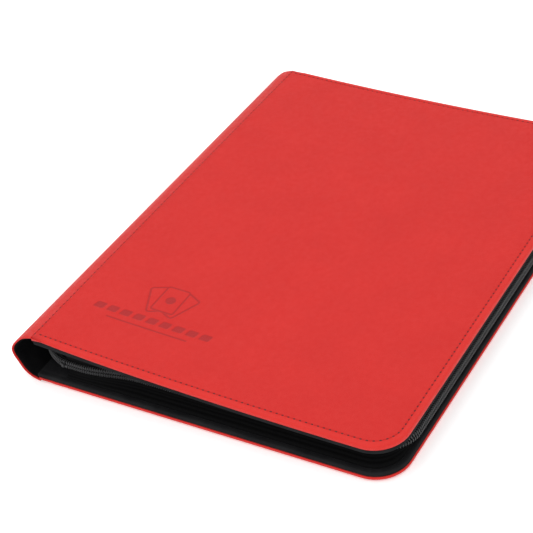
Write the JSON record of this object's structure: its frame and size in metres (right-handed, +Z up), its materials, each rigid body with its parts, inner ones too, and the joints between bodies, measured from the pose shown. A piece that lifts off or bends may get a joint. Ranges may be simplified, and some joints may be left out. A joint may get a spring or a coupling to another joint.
{
  "type": "trading card binder",
  "caption": "Zip-round trading card binder lying closed: padded red leather-look covers, rounded folding spine, coil zip with slider and side-loading pocket pages that fan as it opens.",
  "frame": {"origin": "under the middle of the closed binder, on the surface that it lies on", "axes": "+X from the spine to the fore-edge, +Y from the tail (bottom) edge to the head (top) edge, +Z up through the front cover"},
  "size_m": [0.281, 0.35, 0.0404],
  "materials": {
    "red_leather": "matt, fine-grained imitation leather",
    "board": "plain grey chipboard",
    "foam": "soft closed-cell foam sheet",
    "black_lining": "smooth black padded lining",
    "zip_tape": "black herringbone woven tape",
    "zip_coil": "black nylon coil",
    "slider_metal": "satin black painted zinc",
    "page_film": "black backing sheet under clear pocket film"
  },
  "bodies": {
    "back_cover": {"back_cover_leather": "red_leather", "back_cover_board": "board", "back_cover_foam": "foam", "back_cover_lining": "black_lining", "zip_tape_lower": "zip_tape", "zip_coil_lower": "zip_coil", "zip_tail_end_coil": "zip_coil", "zip_tail_end_tape": "zip_tape", "zip_head_end_coil": "zip_coil", "zip_head_end_tape": "zip_tape", "zip_head_stop": "slider_metal", "zip_tail_stop": "slider_metal"},
    "spine_lower": {"spine_leather_lower": "red_leather", "spine_lining_lower": "black_lining"},
    "spine_middle": {"spine_leather_middle": "red_leather", "spine_lining_middle": "black_lining", "page_binding_strip": "zip_tape"},
    "spine_upper": {"spine_leather_upper": "red_leather", "spine_lining_upper": "black_lining"},
    "front_cover": {"front_cover_leather": "red_leather", "front_cover_board": "board", "front_cover_foam": "foam", "front_cover_lining": "black_lining", "zip_tape_upper": "zip_tape", "zip_coil_upper": "zip_coil"},
    "zip_slider": {"slider_body": "slider_metal", "slider_bail": "slider_metal"},
    "zip_puller": {"puller_ring": "slider_metal", "puller_tab": "slider_metal"},
    "page_01": {"page_01": "page_film"},
    "page_02": {"page_02": "page_film"},
    "page_03": {"page_03": "page_film"},
    "page_04": {"page_04": "page_film"},
    "page_05": {"page_05": "page_film"},
    "page_06": {"page_06": "page_film"},
    "page_07": {"page_07": "page_film"},
    "page_08": {"page_08": "page_film"},
    "page_09": {"page_09": "page_film"},
    "page_10": {"page_10": "page_film"},
    "page_11": {"page_11": "page_film"},
    "page_12": {"page_12": "page_film"},
    "page_13": {"page_13": "page_film"},
    "page_14": {"page_14": "page_film"},
    "page_15": {"page_15": "page_film"},
    "page_16": {"page_16": "page_film"},
    "page_17": {"page_17": "page_film"},
    "page_18": {"page_18": "page_film"},
    "page_19": {"page_19": "page_film"},
    "page_20": {"page_20": "page_film"}
  },
  "joints": [
    {"name": "spine_fold_1", "type": "hinge", "parent": "back_cover", "child": "spine_lower", "pos_m": [-0.12454, 0, 0.00105], "axis": [0, -1, 0], "range_deg": [0, 31.01]},
    {"name": "spine_fold_2", "type": "hinge", "parent": "spine_lower", "child": "spine_middle", "pos_m": [-0.13444, 0, 0.007], "axis": [0, -1, 0], "range_deg": [0, 41.61]},
    {"name": "spine_fold_3", "type": "hinge", "parent": "spine_middle", "child": "spine_upper", "pos_m": [-0.13994, 0, 0.0218], "axis": [0, -1, 0], "range_deg": [0, 69.82]},
    {"name": "front_cover_fold", "type": "hinge", "parent": "spine_upper", "child": "front_cover", "pos_m": [-0.12154, 0, 0.0393], "axis": [0, -1, 0], "range_deg": [0, 48.86]},
    {"name": "page_01_turn", "type": "hinge", "parent": "spine_middle", "child": "page_01", "pos_m": [-0.13099, 0, 0.0089], "axis": [0, -1, 0], "range_deg": [-48.61, 0]},
    {"name": "page_02_turn", "type": "hinge", "parent": "spine_middle", "child": "page_02", "pos_m": [-0.13123, 0, 0.00955], "axis": [0, -1, 0], "range_deg": [-46.61, 0]},
    {"name": "page_03_turn", "type": "hinge", "parent": "spine_middle", "child": "page_03", "pos_m": [-0.13147, 0, 0.0102], "axis": [0, -1, 0], "range_deg": [-44.61, 0]},
    {"name": "page_04_turn", "type": "hinge", "parent": "spine_middle", "child": "page_04", "pos_m": [-0.13171, 0, 0.01085], "axis": [0, -1, 0], "range_deg": [-42.61, 0]},
    {"name": "page_05_turn", "type": "hinge", "parent": "spine_middle", "child": "page_05", "pos_m": [-0.13195, 0, 0.0115], "axis": [0, -1, 0], "range_deg": [-40.61, 0]},
    {"name": "page_06_turn", "type": "hinge", "parent": "spine_middle", "child": "page_06", "pos_m": [-0.13219, 0, 0.01215], "axis": [0, -1, 0], "range_deg": [-38.61, 0]},
    {"name": "page_07_turn", "type": "hinge", "parent": "spine_middle", "child": "page_07", "pos_m": [-0.13243, 0, 0.0128], "axis": [0, -1, 0], "range_deg": [-36.61, 0]},
    {"name": "page_08_turn", "type": "hinge", "parent": "spine_middle", "child": "page_08", "pos_m": [-0.13268, 0, 0.01345], "axis": [0, -1, 0], "range_deg": [-34.61, 0]},
    {"name": "page_09_turn", "type": "hinge", "parent": "spine_middle", "child": "page_09", "pos_m": [-0.13292, 0, 0.0141], "axis": [0, -1, 0], "range_deg": [-32.61, 0]},
    {"name": "page_10_turn", "type": "hinge", "parent": "spine_middle", "child": "page_10", "pos_m": [-0.13316, 0, 0.01475], "axis": [0, -1, 0], "range_deg": [-30.61, 0]},
    {"name": "page_11_turn", "type": "hinge", "parent": "spine_middle", "child": "page_11", "pos_m": [-0.1334, 0, 0.0154], "axis": [0, -1, 0], "range_deg": [0, 71.39]},
    {"name": "page_12_turn", "type": "hinge", "parent": "spine_middle", "child": "page_12", "pos_m": [-0.13364, 0, 0.01605], "axis": [0, -1, 0], "range_deg": [0, 73.39]},
    {"name": "page_13_turn", "type": "hinge", "parent": "spine_middle", "child": "page_13", "pos_m": [-0.13388, 0, 0.0167], "axis": [0, -1, 0], "range_deg": [0, 75.39]},
    {"name": "page_14_turn", "type": "hinge", "parent": "spine_middle", "child": "page_14", "pos_m": [-0.13413, 0, 0.01735], "axis": [0, -1, 0], "range_deg": [0, 77.39]},
    {"name": "page_15_turn", "type": "hinge", "parent": "spine_middle", "child": "page_15", "pos_m": [-0.13437, 0, 0.018], "axis": [0, -1, 0], "range_deg": [0, 79.39]},
    {"name": "page_16_turn", "type": "hinge", "parent": "spine_middle", "child": "page_16", "pos_m": [-0.13461, 0, 0.01865], "axis": [0, -1, 0], "range_deg": [0, 81.39]},
    {"name": "page_17_turn", "type": "hinge", "parent": "spine_middle", "child": "page_17", "pos_m": [-0.13485, 0, 0.0193], "axis": [0, -1, 0], "range_deg": [0, 83.39]},
    {"name": "page_18_turn", "type": "hinge", "parent": "spine_middle", "child": "page_18", "pos_m": [-0.13509, 0, 0.01995], "axis": [0, -1, 0], "range_deg": [0, 85.39]},
    {"name": "page_19_turn", "type": "hinge", "parent": "spine_middle", "child": "page_19", "pos_m": [-0.13533, 0, 0.0206], "axis": [0, -1, 0], "range_deg": [0, 87.39]},
    {"name": "page_20_turn", "type": "hinge", "parent": "spine_middle", "child": "page_20", "pos_m": [-0.13558, 0, 0.02125], "axis": [0, -1, 0], "range_deg": [0, 89.39]},
    {"name": "zip_slide", "type": "slide", "parent": "back_cover", "child": "zip_slider", "axis": [1, 0, 0], "range_m": [0, 0.218]},
    {"name": "puller_turn", "type": "hinge", "parent": "zip_slider", "child": "zip_puller", "pos_m": [-0.11254, 0.16655, 0.0155], "axis": [0, 0, 1], "range_deg": [0, 150]}
  ],
  "couplings": [
    {"joint": "spine_fold_2", "follows": "spine_fold_1", "ratio": 1.2452},
    {"joint": "spine_fold_3", "follows": "spine_fold_1", "ratio": 2.1551},
    {"joint": "front_cover_fold", "follows": "spine_fold_1", "ratio": 1.4792},
    {"joint": "page_01_turn", "follows": "spine_fold_1", "ratio": -1.4711},
    {"joint": "page_02_turn", "follows": "spine_fold_1", "ratio": -1.4066},
    {"joint": "page_03_turn", "follows": "spine_fold_1", "ratio": -1.3421},
    {"joint": "page_04_turn", "follows": "spine_fold_1", "ratio": -1.2776},
    {"joint": "page_05_turn", "follows": "spine_fold_1", "ratio": -1.2131},
    {"joint": "page_06_turn", "follows": "spine_fold_1", "ratio": -1.1486},
    {"joint": "page_07_turn", "follows": "spine_fold_1", "ratio": -1.0841},
    {"joint": "page_08_turn", "follows": "spine_fold_1", "ratio": -1.0196},
    {"joint": "page_09_turn", "follows": "spine_fold_1", "ratio": -0.9551},
    {"joint": "page_10_turn", "follows": "spine_fold_1", "ratio": -0.8906},
    {"joint": "page_11_turn", "follows": "spine_fold_1", "ratio": 2.2056},
    {"joint": "page_12_turn", "follows": "spine_fold_1", "ratio": 2.2701},
    {"joint": "page_13_turn", "follows": "spine_fold_1", "ratio": 2.3346},
    {"joint": "page_14_turn", "follows": "spine_fold_1", "ratio": 2.3991},
    {"joint": "page_15_turn", "follows": "spine_fold_1", "ratio": 2.4636},
    {"joint": "page_16_turn", "follows": "spine_fold_1", "ratio": 2.5281},
    {"joint": "page_17_turn", "follows": "spine_fold_1", "ratio": 2.5926},
    {"joint": "page_18_turn", "follows": "spine_fold_1", "ratio": 2.6571},
    {"joint": "page_19_turn", "follows": "spine_fold_1", "ratio": 2.7216},
    {"joint": "page_20_turn", "follows": "spine_fold_1", "ratio": 2.7861}
  ]
}
